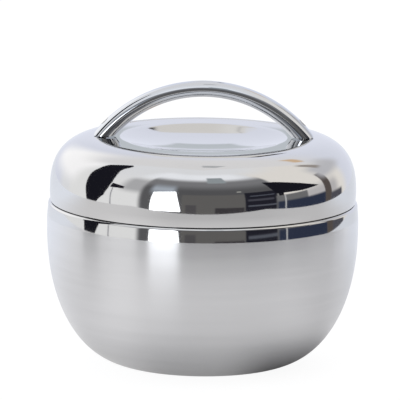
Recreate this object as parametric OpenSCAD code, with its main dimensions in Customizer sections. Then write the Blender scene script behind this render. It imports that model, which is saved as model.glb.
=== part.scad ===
// Insulated lunch bowl: double-walled steel bowl, lift-out food tray and a
// domed insulated lid with an arched carrying handle.
// Axes: X through both feet of the handle, Y through the arch, Z up.
// Origin: centre of the base, on the surface that the bowl stands on.

/* [Bowl] */
// Diameter of the bowl at its belly, the widest place
bowl_d = 165; // [158:0.5:180]
// Height at which the wall has reached the belly's diameter
belly_z = 73.5; // [66:0.5:78]
// Diameter of the flat base, where the wall starts to turn up
base_d = 74; // [60:1:90]
// Width of the flat ring that the bowl stands on
base_ring = 5; // [3:0.5:8]
// How far the middle of the base is pressed up inside that ring
base_lift = 1.5; // [1.3:0.1:2.5]
// Exponent of the wall's curve: 2 is an ellipse, more is squarer
wall_power = 2.15; // [2:0.05:2.5]
// Height of the straight wall between the belly and the polished band
straight_h = 5.5; // [3:0.5:9]
// Height of the polished band under the ledge
band_h = 7.5; // [4:0.5:8]
// How far the polished band leans in towards the ledge
band_lean = 0.5; // [0.2:0.1:0.8]
// Radius of the shoulder between the band and the ledge
shoulder_round = 1.5; // [1:0.1:1.7]
// Thickness of all pressed steel sheet
sheet_t = 0.6; // [0.4:0.05:0.8]

/* [Neck and liner] */
// Height of the neck above the ledge
neck_h = 9.5; // [8:0.5:12]
// Width of the rolled rim, from its outer edge to the mouth
rim_w = 6.75; // [5.5:0.05:8]
// Radius of the rim's inner edge
mouth_round = 2; // [1:0.1:2.6]
// Radius of the rim's outer edge
hem_round = 0.8; // [0.7:0.05:1.2]
// Depth of the liner's hem over the neck
hem_h = 4; // [2.5:0.5:6]
// Height of the liner's floor above the table
liner_floor_z = 12.6; // [10:0.2:18]
// Diameter of the flat part of the liner's floor
liner_flat_d = 56; // [40:1:70]
// How far below the belly the liner's wall turns straight
liner_drop = 7.5; // [3:0.5:12]
// Exponent of the liner's curve
liner_power = 2.3; // [2:0.05:2.6]

/* [Filling hole and plug] */
// Diameter of the filling hole in the base
fill_hole_d = 10; // [8:0.5:14]
// Width of the plug's flange outside the hole
plug_flange = 2; // [1:0.5:4]
// Thickness of the plug's flange
plug_flange_t = 1; // [0.6:0.1:1.1]
// Height of the plug's stem above the base sheet
plug_stem_h = 4; // [3:0.5:6]
// How far the plug's bead reaches past the edge of the hole
plug_bead = 0.5; // [0.3:0.1:1]
// Height of the plug's bead
plug_bead_h = 1.2; // [0.8:0.1:1.6]

/* [Food tray] */
// Gap between the tray's wall and the mouth
tray_gap = 2.45; // [1.5:0.05:4]
// How much the tray's wall leans in towards its floor
tray_lean = 1.2; // [0.5:0.1:3]
// How far the tray's lip stays inside the rim's edge
tray_lip_inset = 0.2; // [0:0.05:0.8]
// Depth of the tray from the top of its lip
tray_depth = 30; // [20:1:36]
// Radius between the tray's wall and its lip
tray_lip_round = 3; // [1.5:0.1:3.1]
// Radius between the tray's floor and its wall
tray_floor_round = 12; // [6:0.5:16]
// Width of the fold at the edge of the tray's lip
tray_fold = 1.8; // [1:0.1:2]

/* [Lid] */
// How far the lid's widest place lies inside the belly
lid_inset = 1.3; // [0.8:0.05:2]
// How far the lid's wall leans in below that place
lid_lean = 0.3; // [0:0.05:0.3]
// Height of the lid's widest place above its lower edge
lid_wall_h = 4.6; // [3:0.1:8]
// Height of the lid's dome above its widest place
dome_h = 30; // [29:0.1:38]
// Exponent of the dome's curve
dome_power = 2.65; // [2.2:0.05:2.8]
// Distance from the lid's widest place in to the ridge round its top
ridge_inset = 24.3; // [20:0.1:28]
// Distance from the ridge in to where the dome's curve would be level
level_inset = 4.9; // [1:0.1:6]
// Depth of the step inside the ridge
ridge_step = 0.3; // [0.2:0.05:0.5]
// Width of that step
ridge_step_w = 0.3; // [0.2:0.05:0.6]
// Width of the land between the ridge's step and the hollow
land_w = 11.2; // [8:0.1:16]
// Fall of the land between the ridge and the hollow
land_fall = 0.4; // [0.2:0.05:0.6]
// Depth of the hollow below the land
dish_depth = 4.8; // [3:0.1:6]
// Width of the lid's edge folded in under the inner cover
lid_fold = 1.7; // [1:0.1:1.8]

/* [Inner cover and seal] */
// Thickness of the cover's skirt
skirt_t = 1.1; // [0.8:0.05:1.2]
// Thickness of the cover's plate and walls
cover_t = 1.6; // [1.2:0.1:2.2]
// Height of the space between the tray's lip and the cover's flange
seal_space = 2.2; // [1.9:0.1:3]
// Height of the cover's ceiling above its flange's underside
cover_rise = 5.4; // [4.5:0.1:7]
// How far the cover's raised middle lies inside the mouth
cover_inset = 0.35; // [0.1:0.05:2]
// Radius in the corner of the cover's ceiling, as far as its wall leaves room
cover_round = 3.4; // [2:0.1:3.4]
// Width of the ribs that hold the seal
seal_rib = 0.8; // [0.6:0.05:1]
// Height of the ribs that hold the seal
seal_rib_h = 1.2; // [0.8:0.1:1.2]
// Width of the seal
seal_w = 3.8; // [3:0.1:3.9]
// Thickness of the seal's base
seal_t = 1; // [0.8:0.1:1.2]
// Width of the seal's lip
seal_lip_w = 1.4; // [1:0.1:2]

/* [Handle] */
// Distance from the ridge in to the middle of each foot of the handle
foot_inset = 3.4; // [3:0.1:6]
// Height of the handle's middle line above its feet
handle_rise = 25.2; // [22:0.1:32]
// Thickness of the handle from its outer to its inner face
handle_t = 8.5; // [8.3:0.1:10]
// Width of the handle
handle_w = 13; // [11:0.1:18]
// Exponent of the handle's section
handle_power = 2; // [2:0.05:3]
// How far the upright end of each foot lies outside the ridge
foot_overhang = 1.2; // [0.5:0.1:2]

/* [Lugs and screws] */
// Diameter of the peg inside each foot
peg_d = 5.2; // [4.5:0.1:5.4]
// Length of the peg above the foot's lower face
peg_h = 12; // [10:0.5:13]
// Diameter of the stud under each peg
stud_d = 4; // [3:0.1:4.2]
// Thickness of the washer under the lid
washer_t = 1; // [0.6:0.1:1.6]
// Diameter of that washer
washer_d = 11; // [9:0.5:12]
// Width of the nut across its flats
nut_w = 7; // [6:0.1:8]
// Height of the nut
nut_h = 3.2; // [2:0.1:4]
// Length of the stud below the nut
stud_tail = 0.6; // [0.3:0.1:1.5]
// Diameter of each handle screw
screw_d = 3; // [2.5:0.1:3.2]
// Diameter of the screw's head
screw_head_d = 4.5; // [4:0.1:4.8]
// Height of the screw's head
screw_head_h = 1.4; // [1:0.1:1.6]
// Width of the hexagon socket in the head
socket_w = 1.9; // [1.3:0.1:2.2]
// How far the screw's head lies below the handle's outer face
head_sunk = 0.5; // [0.2:0.1:0.8]
// Gap round the screw's head in its recess
head_gap = 0.25; // [0.15:0.05:0.4]
// Distance along the handle from its foot to the screw
screw_up = 6.2; // [6:0.1:8]
// Gap round the screw's tip in the hole in the handle's inner face
tip_gap = 0.4; // [0.2:0.05:0.6]
// Depth of that hole
tip_hole_depth = 1.3; // [1:0.1:1.5]

/* [Clearances] */
// Gap between a piece and the piece that it rests on
seat_gap = 0.3; // [0.2:0.05:0.4]
// Gap round the insulation
foam_gap = 0.3; // [0.2:0.05:0.4]
// Gap between the liner's hem and the neck
crimp_gap = 0.2; // [0.1:0.05:0.3]
// Gap round a peg, a stud and a screw
fit_gap = 0.1; // [0.05:0.05:0.15]
// Gap between the inner cover and the lid's sheet
cover_gap = 0.3; // [0.2:0.05:0.35]
// Gap between the inner cover's skirt and the bowl's rim
skirt_gap = 0.4; // [0.3:0.05:0.45]

/* [Hidden] */

// Number of steps round a turned piece, along a long curve and along a corner
$fn = 96;
curve_steps = 20;
corner_steps = 6;
section_steps = 44;
// How far a cutting tool runs past the face that it cuts
overrun = 1;
// Angles of a quarter, half, three quarters and the whole of a turn
quarter = 90;
half = 2 * quarter;
three_quarters = 3 * quarter;
whole = 4 * quarter;

steel = [0.80, 0.81, 0.83];
polished = [0.88, 0.89, 0.91];
foam = [0.93, 0.88, 0.70];
plastic = [0.93, 0.93, 0.91];
rubber = [0.62, 0.64, 0.66];

bowl_r = bowl_d / 2;
base_r = base_d / 2;
recess_r = base_r - base_ring;
shoulder_r = bowl_r - band_lean;
band_z = belly_z + straight_h;
ledge_z = band_z + band_h;
rim_z = ledge_z + neck_h;

// From the belly in: the lid, its sheet, the inner cover's skirt and the rim
lid_r = bowl_r - lid_inset;
lid_edge_r = lid_r - lid_lean;
skirt_out_r = lid_edge_r - sheet_t - cover_gap;
skirt_in_r = skirt_out_r - skirt_t;
rim_r = skirt_in_r - skirt_gap;
neck_r = rim_r - sheet_t - crimp_gap;
mouth_r = rim_r - rim_w;
liner_flat_r = liner_flat_d / 2;
liner_belly_z = belly_z - liner_drop;
// The inner corner between the ledge and the neck is as round as the shoulder
neck_round = shoulder_round;
fill_hole_r = fill_hole_d / 2;

tray_seat_z = rim_z + seat_gap;
tray_top_z = tray_seat_z + sheet_t;
tray_floor_z = tray_top_z - tray_depth;
tray_r = mouth_r - tray_gap;
tray_lip_r = rim_r - tray_lip_inset;

lid_edge_z = ledge_z + seat_gap;
lid_wide_z = lid_edge_z + lid_wall_h;
lid_top_z = lid_wide_z + dome_h;
ridge_r = lid_r - ridge_inset;
dome_level_r = ridge_r - level_inset;
land_z = lid_top_z - ridge_step;
land_r = ridge_r - ridge_step_w;
dish_r = land_r - land_w;
dish_z = land_z - land_fall;
// Radius of the sphere that the hollow is a cap of
dish_ball_r = (dish_r * dish_r + dish_depth * dish_depth) / (2 * dish_depth);

skirt_z = lid_edge_z + sheet_t + seat_gap;
flange_z = tray_top_z + seal_space;
ceiling_z = flange_z + cover_rise;
cover_bore_r = mouth_r - cover_inset;
cover_corner = min(cover_round, cover_rise - cover_t - foam_gap);
seal_in_r = cover_bore_r + seal_rib + foam_gap;
seal_out_r = seal_in_r + seal_w;
seal_mid_r = (seal_in_r + seal_out_r) / 2;

foot_z = lid_top_z + fit_gap;
foot_reach = ridge_r + foot_overhang;
handle_span = 2 * (ridge_r - foot_inset);
handle_r = (handle_span * handle_span / 4 + handle_rise * handle_rise) / (2 * handle_rise);
handle_centre_z = foot_z + handle_rise - handle_r;
foot_angle = asin(handle_span / 2 / handle_r);
screw_angle = foot_angle - screw_up / handle_r * half / PI;
recess_d = screw_head_d + 2 * head_gap;
recess_depth = fit_gap + screw_head_h + head_sunk;
tip_hole_d = screw_d + 2 * tip_gap;
// Lowest face of the screw's recess and of its head, from the arch's centre
recess_floor_r = handle_r + handle_t / 2 - recess_depth;
head_seat_r = recess_floor_r + fit_gap;
screw_tip_r = handle_r - handle_t / 2 + tip_hole_depth / 2;

lug_x = handle_span / 2;
// Fall of the land under the far edge of the washer
washer_fall = land_fall * (land_r - lug_x + washer_d / 2) / (land_r - dish_r);
washer_z = land_z - washer_fall - sheet_t - fit_gap / 2;
nut_z = washer_z - washer_t;
stud_end_z = nut_z - nut_h - stud_tail;

// Points of a quarter of a superellipse from its lowest point out to its widest
function rising_quarter(r0, z0, a, b, power) =
    [for (i = [0 : curve_steps]) let (t = quarter * i / curve_steps)
        [r0 + a * pow(sin(t), 2 / power), z0 - b * pow(cos(t), 2 / power)]];

// Points of a quarter of a superellipse from its widest point in to its top,
// stopped at the radius stop_r
function dome_quarter(r0, z0, a, b, power, stop_r) =
    let (last = asin(pow(1 - pow((stop_r - r0) / a, power), 0.5)))
    [for (i = [0 : curve_steps]) let (t = last * i / curve_steps)
        [r0 + a * pow(cos(t), 2 / power), z0 + b * pow(sin(t), 2 / power)]];

// Points of an arc of radius r between two angles
function arc(r0, z0, r, from, to) =
    [for (i = [0 : corner_steps]) let (t = from + (to - from) * i / corner_steps)
        [r0 + r * cos(t), z0 + r * sin(t)]];

// The lid's outer radius at a height on its dome, less an inset
function dome_r(z, inset) = dome_level_r + (lid_r - dome_level_r - inset)
    * pow(1 - pow((z - lid_wide_z) / (dome_h - inset), dome_power), 1 / dome_power);

function backwards(points) = [for (i = [len(points) - 1 : -1 : 0]) points[i]];

// The bowl's outer surface moved in by an inset, from the base ring to the neck
function bowl_line(inset) = concat(
    rising_quarter(base_r, belly_z, bowl_r - base_r - inset, belly_z - inset, wall_power),
    [[bowl_r - inset, band_z]],
    arc(shoulder_r - shoulder_round, ledge_z - shoulder_round, shoulder_round - inset,
        0, quarter),
    arc(neck_r + neck_round, ledge_z + neck_round, neck_round + inset, three_quarters, half));

// The liner's inner surface moved out by an outset, from its floor to the rim
function liner_line(outset) = concat(
    rising_quarter(liner_flat_r, liner_belly_z, mouth_r - liner_flat_r + outset,
        liner_belly_z - liner_floor_z + outset, liner_power),
    arc(mouth_r + mouth_round, rim_z - mouth_round, mouth_round - outset, half, quarter));

// The lid's outer surface moved in by an inset, from its lower edge to the hollow's middle
function lid_line(inset, low_z) = concat(
    [[lid_edge_r - inset, low_z]],
    dome_quarter(dome_level_r, lid_wide_z, lid_r - dome_level_r - inset, dome_h - inset,
        dome_power, ridge_r),
    [[land_r, land_z - inset]],
    dish_line(inset));

// The hollow's surface moved down by a drop, from its edge to the middle
function dish_line(drop) =
    [for (i = [0 : corner_steps]) let (r = dish_r * (1 - i / corner_steps))
        [r, dish_z - dish_depth - drop + dish_ball_r
            - sqrt(dish_ball_r * dish_ball_r - r * r)]];

module turned(points) {
    rotate_extrude() polygon(points);
}

module bowl_outer_shell() {
    color(steel) turned(concat(
        [[fill_hole_r, base_lift], [recess_r - base_lift, base_lift], [recess_r, 0]],
        bowl_line(0),
        [[neck_r, rim_z - sheet_t - crimp_gap], [neck_r - sheet_t, rim_z - sheet_t - crimp_gap]],
        backwards(bowl_line(sheet_t)),
        [[recess_r, sheet_t], [recess_r - base_lift, base_lift + sheet_t],
            [fill_hole_r, base_lift + sheet_t]]));
}

module bowl_liner() {
    color(polished) turned(concat(
        [[0, liner_floor_z]],
        liner_line(0),
        arc(rim_r - hem_round, rim_z - hem_round, hem_round, quarter, 0),
        [[rim_r, rim_z - hem_h], [rim_r - sheet_t, rim_z - hem_h]],
        arc(rim_r - hem_round, rim_z - hem_round, hem_round - sheet_t, 0, quarter),
        backwards(liner_line(sheet_t)),
        [[0, liner_floor_z - sheet_t]]));
}

module bowl_insulation() {
    outer = sheet_t + foam_gap;
    color(foam) difference() {
        turned(concat(
            [[0, base_lift + outer], [recess_r - base_lift, base_lift + outer],
                [recess_r, outer]],
            bowl_line(outer),
            [[neck_r - outer, rim_z - outer]],
            backwards(liner_line(outer)),
            [[0, liner_floor_z - outer]]));
        cylinder(r = fill_hole_r + plug_bead + foam_gap,
            h = base_lift + sheet_t + plug_stem_h + foam_gap);
    }
}

module fill_plug() {
    top_z = base_lift + sheet_t + plug_stem_h;
    bead_z = base_lift + sheet_t + fit_gap;
    stem_r = fill_hole_r - fit_gap;
    bead_r = fill_hole_r + plug_bead;
    flange_r = fill_hole_r + plug_flange;
    flange_top_z = base_lift - fit_gap;
    flange_low_z = flange_top_z - plug_flange_t;
    color(rubber) turned([[0, flange_low_z], [flange_r, flange_low_z], [flange_r, flange_top_z],
        [stem_r, flange_top_z], [stem_r, bead_z], [bead_r, bead_z],
        [bead_r, bead_z + plug_bead_h / 2], [stem_r - plug_bead, bead_z + plug_bead_h],
        [stem_r - plug_bead, top_z], [0, top_z]]);
}

module food_tray() {
    wall_r = tray_r - sheet_t;
    lip_arc_r = wall_r + tray_lip_round;
    lip_arc_z = tray_top_z - tray_lip_round;
    corner_r = wall_r - tray_lean - tray_floor_round;
    corner_z = tray_floor_z + tray_floor_round;
    fold_z = tray_top_z + sheet_t;
    color(polished) turned(concat(
        [[0, tray_floor_z]],
        arc(corner_r, corner_z, tray_floor_round, three_quarters, whole),
        arc(lip_arc_r, lip_arc_z, tray_lip_round, half, quarter),
        [[tray_lip_r - tray_fold, tray_top_z]],
        [[tray_lip_r - tray_fold, fold_z]],
        arc(tray_lip_r - sheet_t, tray_top_z, sheet_t, quarter, -quarter),
        arc(lip_arc_r, lip_arc_z, tray_lip_round - sheet_t, quarter, half),
        arc(corner_r, corner_z, tray_floor_round + sheet_t, whole, three_quarters),
        [[0, tray_floor_z - sheet_t]]));
}

module lid_outer_shell() {
    color(polished) difference() {
        turned(concat(
            [[lid_edge_r - lid_fold, lid_edge_z + sheet_t], [lid_edge_r - lid_fold, lid_edge_z]],
            lid_line(0, lid_edge_z),
            backwards(lid_line(sheet_t, lid_edge_z + sheet_t))));
        for (side = [-1, 1])
            translate([side * lug_x, 0, dish_z - sheet_t - overrun])
                cylinder(d = stud_d + 2 * fit_gap, h = land_fall + sheet_t + 2 * overrun);
    }
}

module lid_inner_cover() {
    top_z = flange_z + cover_t;
    wall_out_r = cover_bore_r + cover_t;
    inset = sheet_t + cover_gap;
    color(plastic) turned(concat(
        [[skirt_in_r, skirt_z], [skirt_out_r, skirt_z], [dome_r(flange_z, inset), flange_z],
            [dome_r(top_z, inset), top_z], [wall_out_r, top_z]],
        arc(cover_bore_r - cover_corner, ceiling_z - cover_corner, cover_corner + cover_t, 0, quarter),
        [[0, ceiling_z + cover_t], [0, ceiling_z]],
        arc(cover_bore_r - cover_corner, ceiling_z - cover_corner, cover_corner, quarter, 0),
        [[cover_bore_r, flange_z - seal_rib_h], [cover_bore_r + seal_rib, flange_z - seal_rib_h],
            [cover_bore_r + seal_rib, flange_z],
            [seal_out_r + foam_gap, flange_z], [seal_out_r + foam_gap, flange_z - seal_rib_h],
            [seal_out_r + foam_gap + seal_rib, flange_z - seal_rib_h],
            [seal_out_r + foam_gap + seal_rib, flange_z], [skirt_in_r, flange_z]]));
}

module lid_insulation() {
    inset = sheet_t + foam_gap;
    low_z = flange_z + cover_t + foam_gap;
    wall_r = cover_bore_r + cover_t + foam_gap;
    arc_r = cover_corner + cover_t + foam_gap;
    pocket_z = stud_end_z - foam_gap;
    color(foam) difference() {
        turned(concat(
            [[wall_r, low_z], [dome_r(low_z, inset), low_z]],
            [for (p = lid_line(inset, low_z)) if (p[1] > low_z) p],
            [[0, ceiling_z + cover_t + foam_gap]],
            arc(cover_bore_r - cover_corner, ceiling_z - cover_corner, arc_r, quarter, 0)));
        for (side = [-1, 1])
            translate([side * lug_x, 0, pocket_z])
                cylinder(d = washer_d + 2 * foam_gap, h = lid_top_z - pocket_z);
    }
}

module lid_seal() {
    base_z = flange_z - foam_gap / 2;
    tip_z = tray_top_z + seat_gap;
    color(rubber) turned([[seal_in_r, base_z], [seal_in_r, base_z - seal_t],
        [seal_mid_r - seal_lip_w / 2, base_z - seal_t], [seal_mid_r - seal_lip_w / 4, tip_z],
        [seal_mid_r + seal_lip_w / 4, tip_z], [seal_mid_r + seal_lip_w / 2, base_z - seal_t],
        [seal_out_r, base_z - seal_t], [seal_out_r, base_z]]);
}

// Places a piece that is made along +X from the arch's centre on the line at
// an angle from the top of the arch, on the left or the right side
module on_arch(side, angle) {
    translate([0, 0, handle_centre_z]) rotate([0, side * angle - quarter, 0]) children();
}

// The peg's straight line leaves the arch at the foot, along the arch
module along_foot(side) {
    translate([side * handle_span / 2, 0, foot_z]) rotate([0, side * (foot_angle - quarter), 0])
        children();
}

function section_point(t) = [
    handle_r + handle_t / 2 * sign(cos(t)) * pow(abs(cos(t)), 2 / handle_power),
    handle_w / 2 * sign(sin(t)) * pow(abs(sin(t)), 2 / handle_power)];

module handle() {
    points = [for (i = [0 : section_steps - 1]) section_point(whole * (i + 0.5) / section_steps)];
    room = handle_r + handle_t;
    socket_h = peg_h + fit_gap;
    color(polished) difference() {
        translate([0, 0, handle_centre_z]) rotate([quarter, 0, 0]) rotate_extrude() polygon(points);
        translate([-room, -handle_w, foot_z - 2 * room]) cube([2 * room, 2 * handle_w, 2 * room]);
        for (side = [-1, 1]) {
            translate([side > 0 ? foot_reach : -foot_reach - room, -handle_w, foot_z - room])
                cube([room, 2 * handle_w, 2 * room]);
            along_foot(side) translate([0, 0, -peg_d])
                cylinder(d = peg_d + 2 * fit_gap, h = peg_d + socket_h);
            on_arch(side, screw_angle) screw_hole();
        }
    }
}

// The hole for a handle screw, through the handle and the peg in it: recess
// for the head, bore and hole for the tip
module screw_hole() {
    inner_face_r = handle_r - handle_t / 2;
    rotate([0, quarter, 0]) {
        translate([0, 0, recess_floor_r]) cylinder(d = recess_d, h = recess_depth + overrun);
        translate([0, 0, inner_face_r]) cylinder(d = screw_d + 2 * fit_gap, h = handle_t);
        translate([0, 0, inner_face_r - overrun])
            cylinder(d = tip_hole_d, h = tip_hole_depth + overrun);
    }
}

module handle_screw(side) {
    color(steel) on_arch(side, screw_angle) rotate([0, quarter, 0]) difference() {
        union() {
            translate([0, 0, head_seat_r]) cylinder(d = screw_head_d, h = screw_head_h);
            translate([0, 0, screw_tip_r]) cylinder(d = screw_d, h = head_seat_r - screw_tip_r);
        }
        translate([0, 0, head_seat_r + screw_head_h / 2])
            cylinder(r = socket_w / sqrt(3), h = screw_head_h, $fn = 6);
    }
}

module handle_screw_left() {
    handle_screw(-1);
}

module handle_screw_right() {
    handle_screw(1);
}

// A lug: the leaning peg inside the foot and the stud through the lid's sheet
module handle_lug(side) {
    color(steel) {
        difference() {
            along_foot(side) translate([0, 0, -peg_d]) cylinder(d = peg_d, h = peg_d + peg_h);
            translate([side * lug_x - 2 * peg_d, -peg_d, foot_z - 4 * peg_d])
                cube([4 * peg_d, 2 * peg_d, 4 * peg_d]);
            on_arch(side, screw_angle) screw_hole();
        }
        translate([side * lug_x, 0, stud_end_z])
            cylinder(d = stud_d, h = foot_z + overrun - stud_end_z);
    }
}

module handle_lug_left() {
    handle_lug(-1);
}

module handle_lug_right() {
    handle_lug(1);
}

module lug_washer(side) {
    color(steel) translate([side * lug_x, 0, washer_z - washer_t]) difference() {
        cylinder(d = washer_d, h = washer_t);
        translate([0, 0, -overrun])
            cylinder(d = stud_d + 2 * fit_gap, h = washer_t + 2 * overrun);
    }
}

module lug_washer_left() {
    lug_washer(-1);
}

module lug_washer_right() {
    lug_washer(1);
}

module lug_nut(side) {
    color(steel) translate([side * lug_x, 0, nut_z - nut_h]) difference() {
        cylinder(r = nut_w / sqrt(3), h = nut_h, $fn = 6);
        translate([0, 0, -overrun]) cylinder(d = stud_d + 2 * fit_gap, h = nut_h + 2 * overrun);
    }
}

module lug_nut_left() {
    lug_nut(-1);
}

module lug_nut_right() {
    lug_nut(1);
}

bowl_outer_shell();
bowl_liner();
bowl_insulation();
fill_plug();
food_tray();
lid_outer_shell();
lid_inner_cover();
lid_insulation();
lid_seal();
handle();
handle_lug_left();
handle_lug_right();
handle_screw_left();
handle_screw_right();
lug_washer_left();
lug_washer_right();
lug_nut_left();
lug_nut_right();
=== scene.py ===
"""Insulated lunch bowl: satin steel with a polished band, mirror lid and arched handle."""

import math

import bmesh
import bpy
from mathutils import Matrix, Vector


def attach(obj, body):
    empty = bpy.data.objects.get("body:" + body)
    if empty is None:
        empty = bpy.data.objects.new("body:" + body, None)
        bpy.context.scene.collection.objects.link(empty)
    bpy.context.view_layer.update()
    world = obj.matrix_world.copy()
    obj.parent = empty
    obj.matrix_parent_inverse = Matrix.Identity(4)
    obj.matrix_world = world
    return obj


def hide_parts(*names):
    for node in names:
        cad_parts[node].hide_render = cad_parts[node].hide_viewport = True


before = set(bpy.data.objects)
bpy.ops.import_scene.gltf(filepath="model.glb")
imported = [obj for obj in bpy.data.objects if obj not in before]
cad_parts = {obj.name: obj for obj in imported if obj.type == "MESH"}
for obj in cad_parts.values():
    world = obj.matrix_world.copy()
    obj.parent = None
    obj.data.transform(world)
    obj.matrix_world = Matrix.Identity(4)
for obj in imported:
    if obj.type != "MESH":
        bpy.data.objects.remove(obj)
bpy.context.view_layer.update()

MM = 0.001

# Sizes of the solids, in millimetres
BELLY_R, BELLY_Z = 82.5, 73.5
BASE_R, RECESS_R, BASE_LIFT = 37.0, 32.0, 1.5
WALL_POWER = 2.15
BAND_Z, LEDGE_Z = 79.0, 86.5
BAND_STEP, BAND_STEP_H, BAND_LEAN = 0.025, 0.25, 5.7
BAND_TOP_R, SHOULDER_ROUND = 82.0, 1.5
SHEET = 0.6
NECK_R, NECK_TOP_Z = 77.7, 95.2
RIM_R, RIM_Z, HEM_ROUND, HEM_LOW_Z = 78.5, 96.0, 0.8, 92.0
MOUTH_R, MOUTH_ROUND = 71.75, 2.0
LINER_FLOOR_Z, LINER_FLAT_R, LINER_BELLY_Z, LINER_POWER = 12.6, 28.0, 66.0, 2.3
FILL_HOLE_R = 5.0
TRAY_R, TRAY_LEAN, TRAY_LIP_R, TRAY_FOLD = 69.3, 1.2, 78.3, 1.8
TRAY_TOP_Z, TRAY_FLOOR_Z = 96.9, 66.9
TRAY_LIP_ROUND, TRAY_FLOOR_ROUND = 3.0, 12.0
LID_R, LID_EDGE_R, LID_FOLD = 81.2, 80.9, 1.7
LID_EDGE_Z, LID_WIDE_Z, LID_TOP_Z, LID_EDGE_ROUND = 86.8, 91.4, 121.4, 0.5
DOME_POWER, DOME_LEVEL_R = 2.65, 52.0
RIDGE_R, RIDGE_STEP, RIDGE_STEP_W = 56.9, 0.3, 0.3
DISH_R, LAND_FALL = 45.4, 0.4
# Slope of the lid's top at some radii: a gentle hollow with a steeper wall round it
TOP_SLOPES = [(0, 0), (28.3, 0.128), (34.3, 0.185), (42.3, 0.2), (45.8, 0.036)]
STUD_X, STUD_HOLE_R = 53.5, 2.1
SKIRT_IN_R, SKIRT_OUT_R, SKIRT_Z = 78.9, 80.0, 87.7
FLANGE_Z, CEILING_Z, COVER_T = 99.1, 104.5, 1.6
COVER_BORE_R, COVER_ROUND, COVER_EDGE_R = 71.4, 3.4, 79.8
SEAL_RIB, SEAL_RIB_H, SEAL_IN_R, SEAL_W, SEAL_T = 0.8, 1.2, 72.5, 3.8, 1.0
SEAL_TIP_Z, SEAL_LIP_W, FOAM_GAP = 97.2, 1.4, 0.3
FOOT_Z, HANDLE_RISE, HANDLE_T, HANDLE_W = 121.5, 25.2, 8.5, 13.0
FOOT_REACH, FOOT_EXTRA = 58.1, 1.6
SCREW_UP, RECESS_HOLE_R, RECESS_DEPTH = 6.2, 2.5, 2.0
TIP_HOLE_R, TIP_HOLE_DEPTH = 1.9, 1.3
PEG_R, PEG_H, STUD_R, FIT = 2.6, 12.0, 2.0, 0.1
SCREW_R, HEAD_R, HEAD_H, SOCKET_W = 1.5, 2.25, 1.4, 1.9
SCREW_PITCH, SCREW_THREAD, STUD_PITCH, STUD_THREAD = 0.5, 0.12, 0.7, 0.15
WASHER_TOP_Z, WASHER_T, WASHER_R, STUD_TAIL = 120.14, 1.0, 5.5, 0.6
NUT_W, NUT_H, NUT_BEVEL = 7.0, 3.2, 0.4
PLUG_FLANGE, PLUG_FLANGE_T, PLUG_STEM_H, PLUG_BEAD, PLUG_BEAD_H = 2.0, 1.0, 4.0, 0.5, 1.2

HANDLE_R = (STUD_X ** 2 + HANDLE_RISE ** 2) / (2 * HANDLE_RISE)
HANDLE_Z = FOOT_Z + HANDLE_RISE - HANDLE_R
FOOT_ANGLE = math.asin(STUD_X / HANDLE_R)
SCREW_ANGLE = FOOT_ANGLE - SCREW_UP / HANDLE_R
OUTER_R, INNER_R = HANDLE_R + HANDLE_T / 2, HANDLE_R - HANDLE_T / 2
STUD_END_Z = WASHER_TOP_Z - WASHER_T - NUT_H - STUD_TAIL

# Steps of the meshes
TURN_STEPS, ARCH_STEPS, SECTION_STEPS = 288, 160, 64
PLUG_STEPS, LUG_STEPS, SMALL_STEPS, DRILL_STEPS = 96, 72, 64, 48
# A profile's corner is eased, and an edge of a cut piece is sharp, above these angles
EASED_TURN, SHARP_EDGE = 20, 32
PAST = 1  # how far a cutting tool reaches past what it cuts
SLIVER = 1e-7  # points that a cut leaves closer than this, in metres, are merged


# Profiles of the turned pieces: points (radius, height) in millimetres

def arc(r0, z0, radius, start, end, steps=8):
    """Points of an arc between two angles in degrees."""
    turns = [math.radians(start + (end - start) * i / steps) for i in range(steps + 1)]
    return [(r0 + radius * math.cos(t), z0 + radius * math.sin(t)) for t in turns]


def rising_quarter(r0, z0, a, b, power, steps=56):
    """A quarter of a superellipse from its lowest point out to its widest."""
    turns = [math.pi / 2 * i / steps for i in range(steps + 1)]
    return [(r0 + a * math.sin(t) ** (2 / power), z0 - b * max(math.cos(t), 0) ** (2 / power))
            for t in turns]


def dome_quarter(r0, z0, a, b, power, stop_r, steps):
    """A quarter of a superellipse from its widest point in to the radius stop_r."""
    last = math.asin((1 - ((stop_r - r0) / a) ** power) ** 0.5)
    turns = [last * i / steps for i in range(steps + 1)]
    return [(r0 + a * math.cos(t) ** (2 / power), z0 + b * math.sin(t) ** (2 / power))
            for t in turns]


def eased(points, ease, steps=4):
    """The points with each sharp corner replaced by a small curve."""
    out = [points[0]]
    for before, here, after in zip(points, points[1:], points[2:]):
        one = Vector((before[0] - here[0], before[1] - here[1]))
        two = Vector((after[0] - here[0], after[1] - here[1]))
        if one.length < 1e-6 or two.length < 1e-6:
            continue
        turn = 180 - math.degrees(one.angle(two))
        if turn < EASED_TURN:
            out.append(here)
            continue
        reach = min(ease, 0.45 * one.length, 0.45 * two.length)
        first, last = one.normalized() * reach, two.normalized() * reach
        for i in range(steps + 1):
            t = i / steps
            out.append((here[0] + first[0] * (1 - t) ** 2 + last[0] * t ** 2,
                        here[1] + first[1] * (1 - t) ** 2 + last[1] * t ** 2))
    out.append(points[-1])
    return out


def bowl_line(inset):
    """The bowl's wall from the base ring to the neck, moved in by an inset."""
    return (rising_quarter(BASE_R, BELLY_Z, BELLY_R - BASE_R - inset, BELLY_Z - inset, WALL_POWER)
            + [(BELLY_R - inset, BAND_Z - BAND_STEP_H),
               (BELLY_R - inset - BAND_STEP, BAND_Z + BAND_STEP_H)]
            + arc(BAND_TOP_R - SHOULDER_ROUND, LEDGE_Z - SHOULDER_ROUND, SHOULDER_ROUND - inset,
                  BAND_LEAN, 90, 14)
            + arc(NECK_R + SHOULDER_ROUND, LEDGE_Z + SHOULDER_ROUND, SHOULDER_ROUND + inset,
                  270, 180, 12))


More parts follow.
